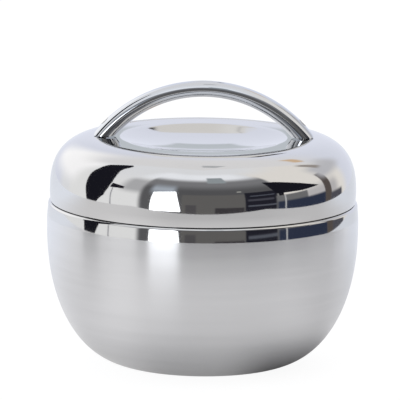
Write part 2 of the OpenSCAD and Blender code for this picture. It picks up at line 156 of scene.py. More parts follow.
def bowl_shell_points():
    return eased(
        [(FILL_HOLE_R, BASE_LIFT), (RECESS_R - BASE_LIFT, BASE_LIFT), (RECESS_R, 0)]
        + bowl_line(0) + [(NECK_R, NECK_TOP_Z), (NECK_R - SHEET, NECK_TOP_Z)]
        + bowl_line(SHEET)[::-1]
        + [(RECESS_R, SHEET), (RECESS_R - BASE_LIFT, BASE_LIFT + SHEET),
           (FILL_HOLE_R, BASE_LIFT + SHEET), (FILL_HOLE_R, BASE_LIFT)], 0.5)


def liner_line(outset):
    """The liner's inner face from its floor to the rim, moved out by an outset."""
    return (rising_quarter(LINER_FLAT_R, LINER_BELLY_Z, MOUTH_R - LINER_FLAT_R + outset,
                           LINER_BELLY_Z - LINER_FLOOR_Z + outset, LINER_POWER, 44)
            + arc(MOUTH_R + MOUTH_ROUND, RIM_Z - MOUTH_ROUND, MOUTH_ROUND - outset, 180, 90, 12))


def liner_points():
    rings = [(r, LINER_FLOOR_Z) for r in (0, 6, 12, 18, 24)]
    return eased(
        rings + liner_line(0) + arc(RIM_R - HEM_ROUND, RIM_Z - HEM_ROUND, HEM_ROUND, 90, 0, 8)
        + [(RIM_R, HEM_LOW_Z), (RIM_R - SHEET, HEM_LOW_Z)]
        + arc(RIM_R - HEM_ROUND, RIM_Z - HEM_ROUND, HEM_ROUND - SHEET, 0, 90, 4)
        + liner_line(SHEET)[::-1] + [(0, LINER_FLOOR_Z - SHEET)], 0.2)


def tray_points():
    wall_r = TRAY_R - SHEET
    lip_r, lip_z = wall_r + TRAY_LIP_ROUND, TRAY_TOP_Z - TRAY_LIP_ROUND
    corner_r, corner_z = wall_r - TRAY_LEAN - TRAY_FLOOR_ROUND, TRAY_FLOOR_Z + TRAY_FLOOR_ROUND
    fold_r, fold_z = TRAY_LIP_R - TRAY_FOLD, TRAY_TOP_Z + SHEET
    return eased(
        [(r, TRAY_FLOOR_Z) for r in (0, 10, 20, 30, 40, 48)]
        + arc(corner_r, corner_z, TRAY_FLOOR_ROUND, 270, 360, 18)
        + arc(lip_r, lip_z, TRAY_LIP_ROUND, 180, 90, 10)
        + [(fold_r, TRAY_TOP_Z), (fold_r, fold_z)]
        + arc(TRAY_LIP_R - SHEET, TRAY_TOP_Z, SHEET, 90, -90, 10)
        + arc(lip_r, lip_z, TRAY_LIP_ROUND - SHEET, 90, 180, 8)
        + arc(corner_r, corner_z, TRAY_FLOOR_ROUND + SHEET, 360, 270, 18)
        + [(r, TRAY_FLOOR_Z - SHEET) for r in (48, 30, 0)], 0.15)


def top_slope(r):
    """Slope of the lid's top at a radius, between the values of TOP_SLOPES."""
    for (r0, s0), (r1, s1) in zip(TOP_SLOPES, TOP_SLOPES[1:]):
        if r < r1:
            return s0 + (s1 - s0) * (r - r0) / (r1 - r0)
    return TOP_SLOPES[-1][1]


def top_line(drop, step):
    """The lid's top from the land, softly into the hollow, to the middle."""
    r = TOP_SLOPES[-1][0] + 2 * step
    z = (LID_TOP_Z - RIDGE_STEP - drop
         - (RIDGE_R - RIDGE_STEP_W - r) * LAND_FALL / (RIDGE_R - RIDGE_STEP_W - DISH_R))
    points = [(r, z)]
    while r > 0:
        inner = max(r - step, 0)
        middle = (r + inner) / 2
        z -= (r - inner) * (top_slope(abs(middle - step)) + top_slope(middle)
                            + top_slope(middle + step)) / 3
        r = inner
        points.append((r, z))
    return points


def lid_line(inset, low_z):
    """The lid's outer face from its lower edge to the middle, moved in by an inset."""
    land = [(RIDGE_R - RIDGE_STEP_W, LID_TOP_Z - RIDGE_STEP - inset)]
    # The face that shows gets the rounded foot and the fine steps
    foot, dome_steps, top_step = [(LID_EDGE_R - inset, low_z)], 48, 2.0
    if not inset:
        foot = arc(LID_EDGE_R - LID_EDGE_ROUND, low_z + LID_EDGE_ROUND, LID_EDGE_ROUND,
                   270, 360, 6)
        dome_steps, top_step = 96, 0.8
    return (foot
            + dome_quarter(DOME_LEVEL_R, LID_WIDE_Z, LID_R - DOME_LEVEL_R - inset,
                           LID_TOP_Z - LID_WIDE_Z - inset, DOME_POWER, RIDGE_R, dome_steps)
            + land + top_line(inset, top_step))


def lid_shell_points():
    fold_r = LID_EDGE_R - LID_FOLD
    return eased(
        [(fold_r, LID_EDGE_Z)] + lid_line(0, LID_EDGE_Z)
        + lid_line(SHEET, LID_EDGE_Z + SHEET)[::-1]
        + [(fold_r, LID_EDGE_Z + SHEET), (fold_r, LID_EDGE_Z)], 0.22, steps=6)


def cover_points():
    top_z, wall_r = FLANGE_Z + COVER_T, COVER_BORE_R + COVER_T
    corner_r, corner_z = COVER_BORE_R - COVER_ROUND, CEILING_Z - COVER_ROUND
    rib_z = FLANGE_Z - SEAL_RIB_H
    outer_r = SEAL_IN_R + SEAL_W + FOAM_GAP
    return eased(
        [(0, CEILING_Z + COVER_T)]
        + arc(corner_r, corner_z, COVER_ROUND + COVER_T, 90, 0, 10)
        + [(wall_r, top_z), (COVER_EDGE_R, top_z), (SKIRT_OUT_R, FLANGE_Z),
           (SKIRT_OUT_R, SKIRT_Z), (SKIRT_IN_R, SKIRT_Z), (SKIRT_IN_R, FLANGE_Z),
           (outer_r + SEAL_RIB, FLANGE_Z), (outer_r + SEAL_RIB, rib_z), (outer_r, rib_z),
           (outer_r, FLANGE_Z), (COVER_BORE_R + SEAL_RIB, FLANGE_Z),
           (COVER_BORE_R + SEAL_RIB, rib_z), (COVER_BORE_R, rib_z)]
        + arc(corner_r, corner_z, COVER_ROUND, 0, 90, 10)
        + [(r, CEILING_Z) for r in (56, 40, 24, 8, 0)], 0.25)


def seal_points():
    base_z, mid = FLANGE_Z - FOAM_GAP / 2, SEAL_IN_R + SEAL_W / 2
    low_z = base_z - SEAL_T
    return eased(
        [(SEAL_IN_R, (base_z + low_z) / 2), (SEAL_IN_R, low_z), (mid - SEAL_LIP_W / 2, low_z),
         (mid - SEAL_LIP_W / 4, SEAL_TIP_Z), (mid + SEAL_LIP_W / 4, SEAL_TIP_Z),
         (mid + SEAL_LIP_W / 2, low_z), (SEAL_IN_R + SEAL_W, low_z),
         (SEAL_IN_R + SEAL_W, base_z), (SEAL_IN_R, base_z),
         (SEAL_IN_R, (base_z + low_z) / 2)], 0.25)


def plug_points():
    sheet_z, stem_r = BASE_LIFT + SHEET, FILL_HOLE_R - FIT
    flange_r, flange_z = FILL_HOLE_R + PLUG_FLANGE, BASE_LIFT - FIT
    bead_r, bead_z, neck_r = FILL_HOLE_R + PLUG_BEAD, sheet_z + FIT, stem_r - PLUG_BEAD
    return eased(
        [(0, flange_z - PLUG_FLANGE_T), (flange_r, flange_z - PLUG_FLANGE_T),
         (flange_r, flange_z), (stem_r, flange_z), (stem_r, bead_z), (bead_r, bead_z),
         (bead_r, bead_z + PLUG_BEAD_H / 2), (neck_r, bead_z + PLUG_BEAD_H),
         (neck_r, sheet_z + PLUG_STEM_H), (0, sheet_z + PLUG_STEM_H)], 0.3)


def bowl_foam_points():
    """The foam between the bowl's two walls, with a hole over the plug."""
    gap = SHEET + FOAM_GAP
    hole_r = FILL_HOLE_R + PLUG_BEAD + FOAM_GAP
    hole_z = BASE_LIFT + SHEET + PLUG_STEM_H + FOAM_GAP
    return eased(
        [(0, hole_z), (hole_r, hole_z), (hole_r, BASE_LIFT + gap),
         (RECESS_R - BASE_LIFT, BASE_LIFT + gap), (RECESS_R, gap)]
        + bowl_line(gap) + [(NECK_R - gap, RIM_Z - gap)] + liner_line(gap)[::-1]
        + [(0, LINER_FLOOR_Z - gap)], 0.3)


def lid_foam_points():
    """The foam between the lid's dome and its inner cover."""
    gap = SHEET + FOAM_GAP
    low_z, wall_r = FLANGE_Z + COVER_T + FOAM_GAP, COVER_BORE_R + COVER_T + FOAM_GAP
    top = [(r, z) for r, z in lid_line(gap, low_z) if z > low_z]
    return eased(
        [(wall_r, low_z), (top[0][0], low_z)] + top
        + [(0, CEILING_Z + COVER_T + FOAM_GAP)]
        + arc(COVER_BORE_R - COVER_ROUND, CEILING_Z - COVER_ROUND,
              COVER_ROUND + COVER_T + FOAM_GAP, 90, 0, 10) + [(wall_r, low_z)], 0.3)


def thread(radius, low, high, pitch, depth):
    """A chain of small grooves between two heights, like the edge of a thread."""
    count = 2 * round((high - low) / pitch)
    return [(radius - depth * (i % 2), low + (high - low) * i / count) for i in range(count + 1)]


def screw_points():
    """The handle screw along its own axis, from the arch's centre."""
    tip, seat = INNER_R + TIP_HOLE_DEPTH / 2, OUTER_R - RECESS_DEPTH + FIT
    top = seat + HEAD_H
    plain = seat - 0.5
    return ([(0, tip), (SCREW_R - 0.4, tip)]
            + thread(SCREW_R, tip + 0.3, plain, SCREW_PITCH, SCREW_THREAD)
            + eased([(SCREW_R, plain), (SCREW_R, seat), (HEAD_R, seat),
                     (HEAD_R, top), (0, top)], 0.3, steps=6)[1:])


def stud_points():
    low, high = STUD_END_Z, FOOT_Z + PAST
    return ([(0, low), (STUD_R - 0.5, low)]
            + thread(STUD_R, low + 0.4, FOOT_Z - 1.5, STUD_PITCH, STUD_THREAD)
            + [(STUD_R, high), (0, high)])


def peg_points():
    return eased([(0, -2 * PEG_R), (PEG_R, -2 * PEG_R), (PEG_R, PEG_H), (0, PEG_H)], 0.4)


def washer_points():
    low, bore_r = WASHER_TOP_Z - WASHER_T, STUD_R + FIT
    return eased([(bore_r, low + WASHER_T / 2), (bore_r, low), (WASHER_R, low),
                  (WASHER_R, WASHER_TOP_Z), (bore_r, WASHER_TOP_Z),
                  (bore_r, low + WASHER_T / 2)], 0.15)


# Geometry Nodes: small helpers, then one tree for turned pieces and one for the handle

class Tree:
    """Adds nodes to a tree and joins them in one call."""

    def __init__(self, tree):
        self.tree = tree

    def add(self, kind, inputs=None, **settings):
        node = self.tree.nodes.new(kind)
        for name, value in settings.items():
            setattr(node, name, value)
        for key, value in (inputs or {}).items():
            self.set(node.inputs[key], value)
        return node

    def set(self, socket, value):
        if isinstance(value, bpy.types.NodeSocket):
            self.tree.links.new(value, socket)
        else:
            socket.default_value = value

    def math(self, operation, *values):
        node = self.tree.nodes.new("ShaderNodeMath")
        node.operation = operation
        for socket, value in zip(node.inputs, values):
            self.set(socket, value)
        return node.outputs[0]

    def plus(self, a, b):
        return self.math("ADD", a, b)

    def minus(self, a, b):
        return self.math("SUBTRACT", a, b)

    def times(self, a, b):
        return self.math("MULTIPLY", a, b)

    def over(self, a, b):
        return self.math("DIVIDE", a, b)


def parts(t, vector):
    return t.add("ShaderNodeSeparateXYZ", {0: vector}).outputs


def add_inputs(tree, sockets):
    """Adds named inputs to a tree: rows of name, socket type and starting value."""
    for name, kind, value in sockets:
        socket = tree.interface.new_socket(name, in_out="INPUT", socket_type=kind)
        if value is not None:
            socket.default_value = value


def grid_on_profile(t, profile, rows):
    """A grid of rows by the profile's points, with each point's row and place on the profile."""
    points = t.add("GeometryNodeAttributeDomainSize", {0: profile}, component="MESH")
    count = points.outputs["Point Count"]
    grid = t.add("GeometryNodeMeshGrid", {"Vertices X": rows, "Vertices Y": count})
    index = t.add("GeometryNodeInputIndex").outputs[0]
    row = t.math("FLOOR", t.over(t.plus(index, 0.5), count))
    place = t.minus(index, t.times(row, count))
    position = t.add("GeometryNodeInputPosition").outputs[0]
    sample = t.add("GeometryNodeSampleIndex", {"Geometry": profile, "Value": position,
                                               "Index": place}, data_type="FLOAT_VECTOR")
    return grid.outputs["Mesh"], row, parts(t, sample.outputs[0])


def new_shape(name, line, inputs=()):
    """A mesh tree that reads a line of points, with its helper, inputs and grid."""
    tree = bpy.data.node_groups.new(name, "GeometryNodeTree")
    add_inputs(tree, [(line, "NodeSocketGeometry", None), ("Steps", "NodeSocketInt", 96),
                      ("Material", "NodeSocketMaterial", None), *inputs])
    tree.interface.new_socket("Mesh", in_out="OUTPUT", socket_type="NodeSocketGeometry")
    t = Tree(tree)
    given = t.add("NodeGroupInput").outputs
    return tree, t, given, *grid_on_profile(t, given[line], t.plus(given["Steps"], 1))


def finish_shape(t, mesh, x, y, z, material, band_material, band_height):
    """Moves the points, merges the seam, shades smooth and sets one or two materials."""
    where = t.add("ShaderNodeCombineXYZ", {0: x, 1: y, 2: z}).outputs[0]
    moved = t.add("GeometryNodeSetPosition", {"Geometry": mesh, "Position": where})
    merged = t.add("GeometryNodeMergeByDistance", {"Geometry": moved.outputs[0],
                                                   "Distance": 1e-6})
    smooth = t.add("GeometryNodeSetShadeSmooth", {"Geometry": merged.outputs[0]})
    real = t.add("GeometryNodeRealizeInstances", {"Geometry": smooth.outputs[0]})
    first = t.add("GeometryNodeSetMaterial", {"Geometry": real.outputs[0], "Material": material})
    height = parts(t, t.add("GeometryNodeInputPosition").outputs[0])[2]
    above = t.math("GREATER_THAN", height, band_height)
    second = t.add("GeometryNodeSetMaterial", {"Geometry": first.outputs[0], "Selection": above,
                                               "Material": band_material})
    out = t.add("NodeGroupOutput")
    t.tree.links.new(second.outputs[0], out.inputs[0])


def make_turned_tree():
    """Turns a profile round the Z axis."""
    tree, t, given, mesh, row, place = new_shape("turned_piece", "Profile", [
        ("Band Material", "NodeSocketMaterial", None), ("Band Height", "NodeSocketFloat", 10.0)])
    angle = t.times(t.over(row, given["Steps"]), 2 * math.pi)
    x = t.times(place[0], t.math("COSINE", angle))
    y = t.times(place[0], t.math("SINE", angle))
    finish_shape(t, mesh, x, y, place[2], given["Material"], given["Band Material"],
                 given["Band Height"])
    return tree


def make_arch_tree():
    """Sweeps a section along an arch whose ends are cut level at the foot height.

    Each point of the section gives the radius, the side offset and the centre height
    of its own line along the arch.
    """
    tree, t, given, mesh, row, place = new_shape("arched_handle", "Section", [
        ("Foot Height", "NodeSocketFloat", 0.12), ("Reach", "NodeSocketFloat", 0.06)])
    end = t.math("ARCCOSINE", t.over(t.minus(given["Foot Height"], place[2]), place[0]))
    share = t.minus(t.times(t.over(row, given["Steps"]), 2.0), 1.0)
    angle = t.times(share, end)
    x = t.times(place[0], t.math("SINE", angle))
    x = t.math("MAXIMUM", t.math("MINIMUM", x, given["Reach"]), t.times(given["Reach"], -1.0))
    z = t.plus(t.times(place[0], t.math("COSINE", angle)), place[2])
    finish_shape(t, mesh, x, place[1], z, given["Material"], given["Material"], 10.0)
    return tree


def linked(name, mesh):
    """An object of this scene that holds a mesh."""
    piece = bpy.data.objects.new(name, mesh)
    bpy.context.collection.objects.link(piece)
    return piece


def made_by(tree, name, points, values):
    """Runs a tree on a chain of points and returns the plain mesh object that it makes."""
    mesh = bpy.data.meshes.new(name + "_points")
    mesh.from_pydata(points, [(i, i + 1) for i in range(len(points) - 1)], [])
    source = linked(name + "_source", mesh)
    modifier = source.modifiers.new("shape", "NODES")
    modifier.node_group = tree
    for item in tree.interface.items_tree:
        if item.item_type == "SOCKET" and item.in_out == "INPUT" and item.name in values:
            modifier[item.identifier] = values[item.name]
    depsgraph = bpy.context.evaluated_depsgraph_get()
    plain = bpy.data.meshes.new_from_object(source.evaluated_get(depsgraph), depsgraph=depsgraph)
    bpy.data.objects.remove(source)
    plain.name = name
    piece = linked(name, plain)
    edit = bmesh.new()
    edit.from_mesh(plain)
    bmesh.ops.remove_doubles(edit, verts=edit.verts, dist=1e-6)
    bmesh.ops.holes_fill(edit, edges=[e for e in edit.edges if e.is_boundary], sides=0)
    bmesh.ops.recalc_face_normals(edit, faces=edit.faces)
    edit.to_mesh(plain)
    edit.free()
    return piece


def turned(name, profile, material, band=None, band_height=10.0, steps=TURN_STEPS):
    """A profile in millimetres turned round Z, with another material above the band height."""
    points = [(r * MM, 0, z * MM) for r, z in profile]
    return made_by(TURNED, name, points, {"Steps": steps, "Material": material,
                                          "Band Material": band or material,
                                          "Band Height": band_height * MM})


# Shader node groups: each effect puts out a mask, a height or a value

def new_group(name, inputs, outputs):
    """An empty shader group with named sockets, and its helper, inputs and output node."""
    tree = bpy.data.node_groups.new(name, "ShaderNodeTree")
    add_inputs(tree, [(n, "NodeSocketFloat", v) for n, v in inputs])
    for n in outputs:
        tree.interface.new_socket(n, in_out="OUTPUT", socket_type="NodeSocketFloat")
    t = Tree(tree)
    return tree, t, t.add("NodeGroupInput").outputs, t.add("NodeGroupOutput")


def noise(t, vector, scale, detail=2.0, roughness=0.5, dimensions="3D", w=None):
    inputs = {"Vector": vector, "Scale": scale, "Detail": detail, "Roughness": roughness}
    if w is not None:
        inputs["W"] = w
    return t.add("ShaderNodeTexNoise", inputs, noise_dimensions=dimensions).outputs["Fac"]


def ramp(t, value, low, high):
    """Maps low to 0 and high to 1, with soft ends."""
    node = t.add("ShaderNodeMapRange", {"Value": value, "From Min": low, "From Max": high},
                 interpolation_type="SMOOTHSTEP")
    return node.outputs["Result"]


def object_place(t):
    """Object coordinates, their three parts, and the distance from the Z axis."""
    where = t.add("ShaderNodeTexCoord").outputs["Object"]
    x, y, z = parts(t, where)
    radius = t.math("SQRT", t.plus(t.times(x, x), t.times(y, y)))
    return where, x, y, z, radius


def make_turning_marks():
    """Fine lines round the piece, left by the brushing or turning wheel."""
    tree, t, given, out = new_group("turning_marks", [("Fineness", 9000.0), ("Drift", 9.0),
                                                      ("Coarse Share", 0.35)],
                                    ["Lines", "Patches"])
    _, x, y, z, radius = object_place(t)

    def lines(share):
        fine = t.times(given["Fineness"], share)
        drift = t.add("ShaderNodeCombineXYZ", {0: t.times(x, given["Drift"]),
                                               1: t.times(radius, fine),
                                               2: t.times(z, fine)})
        return noise(t, drift.outputs[0], 1.0, 3.0, 0.6, "4D",
                     w=t.times(y, given["Drift"]))

    coarse = t.times(lines(0.17), given["Coarse Share"])
    fine = t.times(lines(1.0), t.minus(1.0, given["Coarse Share"]))
    t.set(out.inputs["Lines"], t.plus(coarse, fine))
    t.set(out.inputs["Patches"], lines(0.03))
    return tree


def make_smudges():
    """Faint cloudy marks from wiping and handling."""
    tree, t, given, out = new_group("smudges", [("Size", 0.03), ("Amount", 0.5)], ["Mask"])
    where = object_place(t)[0]
    scale = t.over(1.0, given["Size"])
    cloud = noise(t, where, scale, 4.0, 0.62)
    streaks = t.add("ShaderNodeMapping", {"Vector": where, "Rotation": (0.3, 0.2, 0.5),
                                          "Scale": (1.0, 3.5, 1.6)})
    wiped = noise(t, streaks.outputs[0], t.times(scale, 1.7), 3.0, 0.55)
    both = t.times(ramp(t, cloud, 0.48, 0.78), ramp(t, wiped, 0.35, 0.7))
    t.set(out.inputs["Mask"], t.times(both, given["Amount"]))
    return tree


def make_hairlines():
    """Sparse thin scratches in several directions."""
    tree, t, given, out = new_group("hairline_scratches", [("Spacing", 0.006), ("Amount", 0.5)],
                                    ["Mask"])
    where = object_place(t)[0]
    total = None
    for turn in ((0.4, 0.2, 0.7), (1.3, 0.5, 2.1), (0.9, 1.8, 0.3)):
        lean = t.add("ShaderNodeMapping", {"Vector": where, "Rotation": turn,
                                           "Scale": (1.0, 0.04, 1.0)})
        lines = noise(t, lean.outputs[0], t.over(6.0, given["Spacing"]), 1.0, 0.5)
        thin = ramp(t, t.math("ABSOLUTE", t.minus(lines, 0.5)), 0.006, 0.0)
        broken = ramp(t, noise(t, lean.outputs[0], t.over(1.2, given["Spacing"])), 0.56, 0.7)
        mark = t.times(thin, broken)
        total = mark if total is None else t.math("MAXIMUM", total, mark)
    t.set(out.inputs["Mask"], t.times(total, given["Amount"]))
    return tree


def make_rubbed_edges():
    """Where the surface stands proud, from the mesh's own curvature."""
    tree, t, given, out = new_group("rubbed_edges", [("Threshold", 0.52), ("Amount", 0.5)],
                                    ["Mask"])
    proud = t.add("ShaderNodeNewGeometry").outputs["Pointiness"]
    edge = ramp(t, proud, given["Threshold"], t.plus(given["Threshold"], 0.06))
    broken = ramp(t, noise(t, object_place(t)[0], 260.0, 3.0), 0.35, 0.65)
    t.set(out.inputs["Mask"], t.times(t.times(edge, broken), given["Amount"]))
    return tree


def make_cells():
    """Small closed cells, as in rigid foam."""
    tree, t, given, out = new_group("foam_cells", [("Cell Size", 0.0012)], ["Walls"])
    cells = t.add("ShaderNodeTexVoronoi", {"Vector": object_place(t)[0]})
    t.set(cells.inputs["Scale"], t.over(1.0, given["Cell Size"]))
    t.set(out.inputs["Walls"], ramp(t, cells.outputs["Distance"], 0.1, 0.6))
    return tree


def make_mould_grain():
    """Fine grain of a moulded surface."""
    tree, t, given, out = new_group("mould_grain", [("Grain Size", 0.0006)], ["Height"])
    fine = noise(t, object_place(t)[0], t.over(1.0, given["Grain Size"]), 3.0, 0.6)
    t.set(out.inputs["Height"], fine)
    return tree


TURNED, ARCHED = make_turned_tree(), make_arch_tree()
TURNING, SMUDGES, HAIRLINES = make_turning_marks(), make_smudges(), make_hairlines()
RUBBED, CELLS, GRAIN = make_rubbed_edges(), make_cells(), make_mould_grain()


# Materials

def cleared(owner):
    """Gives a material or world an empty node tree, and the helper that fills it."""
    owner.use_nodes = True
    owner.node_tree.nodes.clear()
    return Tree(owner.node_tree)


def surface(t, shader, output="ShaderNodeOutputMaterial"):
    """Joins a shader to the output of its tree."""
    t.tree.links.new(shader.outputs[0], t.add(output).inputs[0])


def new_material(name):
    material = bpy.data.materials.new(name)
    t = cleared(material)
    shader = t.add("ShaderNodeBsdfPrincipled")
    surface(t, shader)
    return material, t, shader


def give(t, shader, color, rough, normal, metal=0.0):
    """Sets what every finish has: colour, roughness, fine relief, and metal or not."""
    t.set(shader.inputs["Base Color"], color)
    t.set(shader.inputs["Roughness"], rough)
    t.set(shader.inputs["Normal"], normal)
    shader.inputs["Metallic"].default_value = metal


def group(t, tree, **inputs):
    node = t.add("ShaderNodeGroup", node_tree=tree)
    for name, value in inputs.items():
        t.set(node.inputs[name.replace("_", " ")], value)
    return node.outputs


def two_tones(t, mask, first, second):
    """The first colour where the mask is 0 and the second where it is 1."""
    first, second = ((*tone, 1.0) if isinstance(tone, tuple) else tone
                     for tone in (first, second))
    return t.add("ShaderNodeMix", {0: mask, 6: first, 7: second}, data_type="RGBA").outputs[2]


def bump(t, height, distance):
    node = t.add("ShaderNodeBump", {"Height": height, "Distance": distance, "Strength": 1.0})
    return node.outputs[0]


def polished_steel(name, tone, roughness, smudge, scratch=0.4):
    """Mirror-finished stainless steel with faint smudges, hairlines and rubbed edges."""
    material, t, shader = new_material(name)
    cloud = group(t, SMUDGES, Size=0.028, Amount=smudge)["Mask"]
    hair = group(t, HAIRLINES, Spacing=0.009, Amount=scratch)["Mask"]
    edge = group(t, RUBBED, Threshold=0.53, Amount=0.5)["Mask"]
    rough = roughness
    for mask, amount in ((cloud, 0.10), (hair, 0.16), (edge, 0.10)):
        rough = t.plus(rough, t.times(mask, amount))
    give(t, shader, two_tones(t, cloud, tone, tuple(c * 0.94 for c in tone)), rough,
         bump(t, t.times(hair, -0.3), 2e-6), 1.0)
    return material


def satin_steel(name, tone, roughness, anisotropy, line_height, fineness=9000.0):
    """Steel brushed round the piece, so that reflections smear up and down."""
    material, t, shader = new_material(name)
    marks = group(t, TURNING, Fineness=fineness, Drift=9.0, Coarse_Share=0.35)
    cloud = group(t, SMUDGES, Size=0.04, Amount=0.6)["Mask"]
    hair = group(t, HAIRLINES, Spacing=0.011, Amount=0.5)["Mask"]
    lighter = tuple(min(1.0, c * 1.015) for c in tone)
    darker = tuple(c * 0.98 for c in tone)
    rough = t.plus(roughness, t.times(cloud, 0.02))
    rough = t.plus(rough, t.times(t.minus(marks["Lines"], 0.5), 0.05))
    height = t.plus(marks["Lines"], t.times(hair, -0.4))
    give(t, shader, two_tones(t, ramp(t, marks["Patches"], 0.3, 0.7), darker, lighter), rough,
         bump(t, height, line_height), 1.0)
    shader.inputs["Anisotropic"].default_value = anisotropy
    shader.inputs["Anisotropic Rotation"].default_value = 0.25
    round_axis = t.add("ShaderNodeTangent", direction_type="RADIAL", axis="Z")
    t.set(shader.inputs["Tangent"], round_axis.outputs[0])
    return material


def machined_steel(name, tone):
    """Plain turned steel of small fasteners."""
    material, t, shader = new_material(name)
    grain = group(t, GRAIN, Grain_Size=0.0004)["Height"]
    edge = group(t, RUBBED, Threshold=0.52, Amount=0.7)["Mask"]
    darker = tuple(c * 0.85 for c in tone)
    give(t, shader, two_tones(t, ramp(t, grain, 0.3, 0.7), tone, darker),
         t.minus(0.34, t.times(edge, 0.12)), bump(t, grain, 4e-6), 1.0)
    return material


def moulded_plastic(name, tone, roughness, grain_depth):
    """Plastic with the fine grain of its mould, wiped and lightly scratched."""
    material, t, shader = new_material(name)
    grain = group(t, GRAIN, Grain_Size=0.0007)["Height"]
    cloud = group(t, SMUDGES, Size=0.03, Amount=0.7)["Mask"]
    hair = group(t, HAIRLINES, Spacing=0.012, Amount=0.6)["Mask"]
    give(t, shader, two_tones(t, cloud, tone, tuple(c * 0.93 for c in tone)),
         t.plus(roughness, t.times(hair, 0.15)), bump(t, grain, grain_depth))
    return material


def rubber(name, tone):
    """Matt rubber or silicone with a little dust."""
    material, t, shader = new_material(name)
    grain = group(t, GRAIN, Grain_Size=0.0005)["Height"]
    dust = group(t, SMUDGES, Size=0.02, Amount=0.8)["Mask"]
    dusty = tuple(min(1.0, c * 1.15 + 0.02) for c in tone)
    give(t, shader, two_tones(t, dust, tone, dusty),
         t.plus(0.52, t.times(grain, 0.16)), bump(t, grain, 1.5e-5))
    return material


def rigid_foam(name, tone):
    """Foam whose cell walls are a little lighter than the cells."""
    material, t, shader = new_material(name)
    walls = group(t, CELLS, Cell_Size=0.0014)["Walls"]
    give(t, shader, two_tones(t, walls, tuple(c * 0.8 for c in tone), tone),
         t.minus(0.95, t.times(walls, 0.1)), bump(t, walls, 3e-4))
    return material


LID_STEEL = polished_steel("lid_polished_steel", (0.68, 0.68, 0.685), 0.045, 0.35)
HANDLE_STEEL = polished_steel("handle_polished_steel", (0.65, 0.67, 0.705), 0.05, 0.3, 0.5)
BAND_STEEL = polished_steel("band_polished_steel", (0.66, 0.66, 0.665), 0.05, 0.2, 0.3)
BODY_STEEL = satin_steel("body_satin_steel", (0.725, 0.73, 0.748), 0.24, 0.92, 3e-6)
LINER_STEEL = satin_steel("liner_turned_steel", (0.68, 0.68, 0.685), 0.20, 0.7, 2e-6, 5000.0)
TRAY_STEEL = satin_steel("tray_turned_steel", (0.70, 0.70, 0.705), 0.16, 0.6, 1.5e-6, 5000.0)
SMALL_STEEL = machined_steel("fastener_steel", (0.55, 0.55, 0.56))
COVER_WHITE = moulded_plastic("cover_white_plastic", (0.80, 0.80, 0.78), 0.36, 4e-6)
SEAL_GREY = rubber("seal_grey_silicone", (0.36, 0.38, 0.40))
PLUG_GREY = rubber("plug_dark_rubber", (0.07, 0.073, 0.078))
FOAM = rigid_foam("insulating_foam", (0.80, 0.70, 0.40))


# The turned pieces

def settle(piece, node, body):
    """Lets a finished piece stand for a CAD node on its body."""
    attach(piece, body)
    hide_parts(node)


settle(turned("bowl_wall", bowl_shell_points(), BODY_STEEL, BAND_STEEL, BAND_Z),
       "bowl_outer_shell", "bowl")
settle(turned("bowl_lining", liner_points(), LINER_STEEL), "bowl_liner", "bowl")
settle(turned("lift_out_tray", tray_points(), TRAY_STEEL), "food_tray", "tray")
lid = turned("lid_dome", lid_shell_points(), LID_STEEL)
settle(lid, "lid_outer_shell", "lid")
settle(turned("lid_cover", cover_points(), COVER_WHITE),
       "lid_inner_cover", "lid")
settle(turned("lid_sealing_ring", seal_points(), SEAL_GREY), "lid_seal", "lid")


# The handle: a swept section, with a recess and a tip hole cut for each screw

def arch_line(offset):
    """Radius and centre height of the line at an offset out from the arch's middle line.

    Lines inside the middle one reach further in at the feet, so the handle is thicker there.
    """
    if offset >= 0:
        return HANDLE_R + offset, HANDLE_Z
    rise = HANDLE_RISE + offset
    reach = math.sqrt((HANDLE_R + offset) ** 2 - (FOOT_Z - HANDLE_Z) ** 2)
    reach += FOOT_EXTRA * offset / (HANDLE_T / 2)
    radius = (reach ** 2 + rise ** 2) / (2 * rise)
    return radius, FOOT_Z + rise - radius


def section_points():
    """Points round the handle's section: line radius, side offset and line centre height."""
    points = []
    for i in range(SECTION_STEPS + 1):
        t = 2 * math.pi * (i + 0.5) / SECTION_STEPS
        radius, centre = arch_line(HANDLE_T / 2 * math.cos(t))
        points.append((radius * MM, HANDLE_W / 2 * math.sin(t) * MM, centre * MM))
    return points


def on_arch(side, angle):
    """Turns and moves what stands on Z at the origin onto a radius of the arch."""
    return Matrix.Translation((0, 0, HANDLE_Z * MM)) @ Matrix.Rotation(side * angle, 4, "Y")


def along_foot(side):
    """Turns and moves what stands on Z at the origin onto the peg's line in a foot."""
    return (Matrix.Translation((side * STUD_X * MM, 0, FOOT_Z * MM))
            @ Matrix.Rotation(side * (FOOT_ANGLE - math.pi / 2), 4, "Y"))


def at_stud(side):
    return Matrix.Translation((side * STUD_X * MM, 0, 0))


def drill(where, radius, low, high, steps=DRILL_STEPS):
    """A cylinder on Z between two heights, moved by a matrix, as a cutting tool."""
    edit = bmesh.new()
    bmesh.ops.create_cone(edit, cap_ends=True, segments=steps, radius1=radius * MM,
                          radius2=radius * MM, depth=(high - low) * MM)
    mesh = bpy.data.meshes.new("cutter")
    edit.to_mesh(mesh)
    edit.free()
    mesh.transform(where @ Matrix.Translation((0, 0, (low + high) / 2 * MM)))
    return linked("cutter", mesh)


